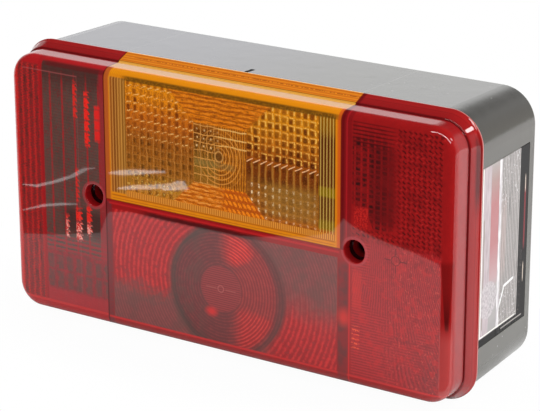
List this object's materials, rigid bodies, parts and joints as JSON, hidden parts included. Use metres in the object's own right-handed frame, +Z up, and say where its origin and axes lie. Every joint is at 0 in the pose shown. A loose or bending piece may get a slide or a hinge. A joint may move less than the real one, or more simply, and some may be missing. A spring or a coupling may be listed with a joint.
{
  "type": "tail light cluster",
  "caption": "Rectangular vehicle tail light with a stepped red and amber lens cap, dark housing, side window for the plate and bulbs inside.",
  "frame": {"origin": "centre of the rear mounting face", "axes": "+Y out of the rear face towards the vehicle, the lens faces -Y, +Z up, +X towards the side with the plate window"},
  "size_m": [0.2448, 0.071, 0.1328],
  "materials": {
    "housing": "moulded, slightly glossy dark grey",
    "lens_left": "clear red plastic",
    "lens_amber": "clear amber plastic",
    "lens_main": "clear red plastic",
    "side_window": "clear plastic",
    "bulb_glass": "clear glass",
    "seal": "black rubber",
    "reflector": "silvered plastic",
    "socket": "zinc-plated steel",
    "bulb_cap": "plated brass",
    "filament": "tungsten wire",
    "strip": "plain brass",
    "terminal": "pale moulded plastic",
    "screw_steel": "zinc-plated steel",
    "lens_screw": "dark plated steel"
  },
  "bodies": {
    "root": {"housing": "housing", "lens_left": "lens_left", "lens_amber": "lens_amber", "lens_main": "lens_main", "side_window": "side_window", "lens_seal": "seal", "window_seal": "seal", "reflector_indicator": "reflector", "reflector_stop": "reflector", "reflector_right": "reflector", "earth_strip": "strip", "live_indicator": "strip", "live_stop": "strip", "live_left": "strip", "live_right": "strip", "terminal_block": "terminal", "terminal_screws": "screw_steel", "cable_grommet": "seal", "lens_screws": "lens_screw", "screw_seals": "seal", "mount_bushings": "seal", "socket_indicator": "socket", "bulb_glass_indicator": "bulb_glass", "bulb_cap_indicator": "bulb_cap", "filament_indicator": "filament", "socket_stop": "socket", "bulb_glass_stop": "bulb_glass", "bulb_cap_stop": "bulb_cap", "filament_stop": "filament", "socket_left": "socket", "bulb_glass_left": "bulb_glass", "bulb_cap_left": "bulb_cap", "filament_left": "filament", "socket_right": "socket", "bulb_glass_right": "bulb_glass", "bulb_cap_right": "bulb_cap", "filament_right": "filament"}
  },
  "joints": []
}
